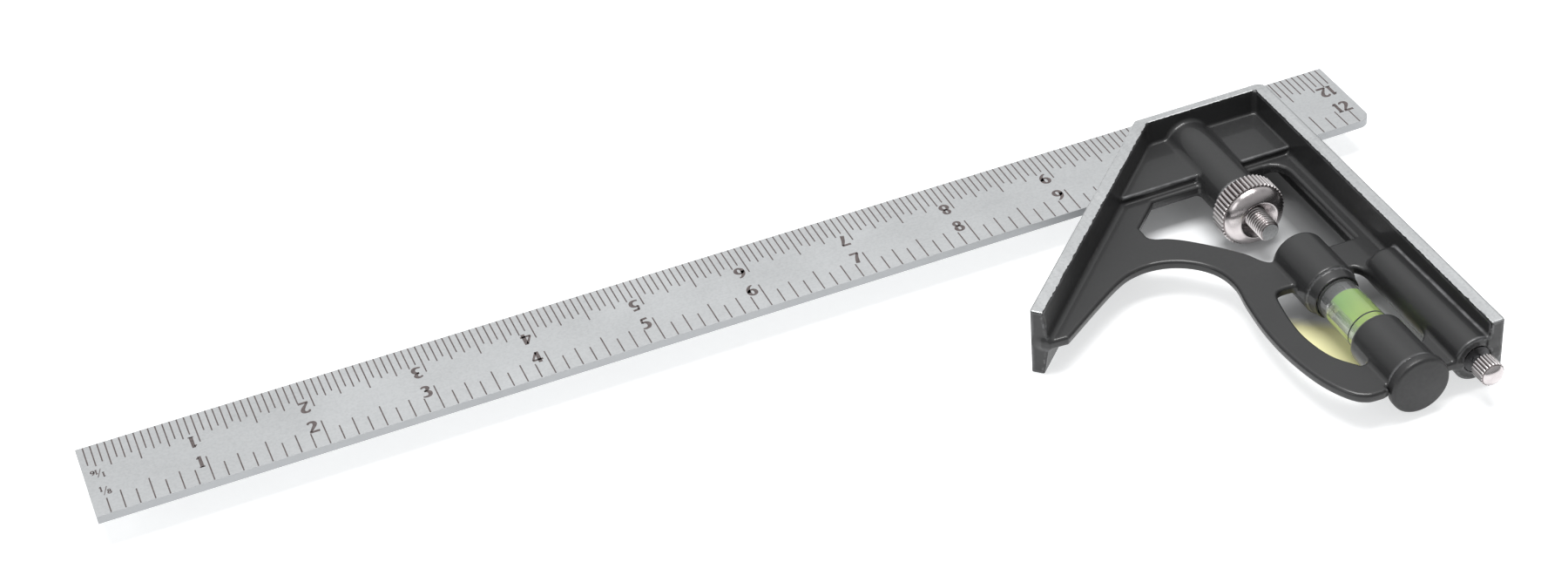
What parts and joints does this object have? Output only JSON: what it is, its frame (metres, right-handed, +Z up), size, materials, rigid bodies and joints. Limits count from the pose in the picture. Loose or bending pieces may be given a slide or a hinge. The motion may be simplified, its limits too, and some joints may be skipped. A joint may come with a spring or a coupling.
{
  "type": "combination square",
  "caption": "Carpenter's square: cast head with 90 and 45 degree faces, sliding grooved rule, knurled clamp nut with sprung bolt, spirit vial and push-in scriber.",
  "frame": {"origin": "centre of the whole tool's bounding box in plan, on the plane it lies on", "axes": "+X along the rule from its zero end to its 12 inch end, +Y from the head towards the rule's outer edge, +Z up, square to the flat side the tool lies on"},
  "size_m": [0.3048, 0.1172, 0.017],
  "materials": {
    "head_enamel": "satin black enamel on a casting, with bare ground faces and rim edges",
    "rule_steel": "satin ground steel with etched scales",
    "nickel": "polished nickel plate, straight knurl",
    "bolt_steel": "bright plated steel",
    "spring_steel": "bare spring wire",
    "acrylic": "clear polished acrylic",
    "vial_liquid": "clear yellow-green spirit",
    "cap_plastic": "satin black",
    "scriber_steel": "ground hardened steel",
    "bush_steel": "dark oiled spring steel"
  },
  "bodies": {
    "head": {"head": "head_enamel", "vial_tube": "acrylic", "vial_liquid": "vial_liquid", "vial_plug": "acrylic", "vial_cap": "cap_plastic", "scriber_bush": "bush_steel", "clamp_spring": "spring_steel"},
    "rule": {"rule": "rule_steel"},
    "bolt": {"clamp_bolt": "bolt_steel"},
    "nut": {"clamp_nut": "nickel"},
    "scriber": {"scriber_needle": "scriber_steel", "scriber_knob": "nickel"}
  },
  "joints": [
    {"name": "rule_slide", "type": "slide", "parent": "head", "child": "rule", "axis": [1, 0, 0], "range_m": [-0.034, 0.25]},
    {"name": "nut_turn", "type": "hinge", "parent": "head", "child": "nut", "pos_m": [0.11, 0.017, 0.0085], "axis": [0, -1, 0], "range_deg": [0, 300]},
    {"name": "bolt_draw", "type": "slide", "parent": "head", "child": "bolt", "axis": [0, 1, 0], "range_m": [0, 0.00067]},
    {"name": "scriber_slide", "type": "slide", "parent": "head", "child": "scriber", "axis": [0, -1, 0], "range_m": [0, 0.032]}
  ],
  "couplings": [
    {"joint": "bolt_draw", "follows": "nut_turn", "m_per_rad": 0.00012732}
  ]
}
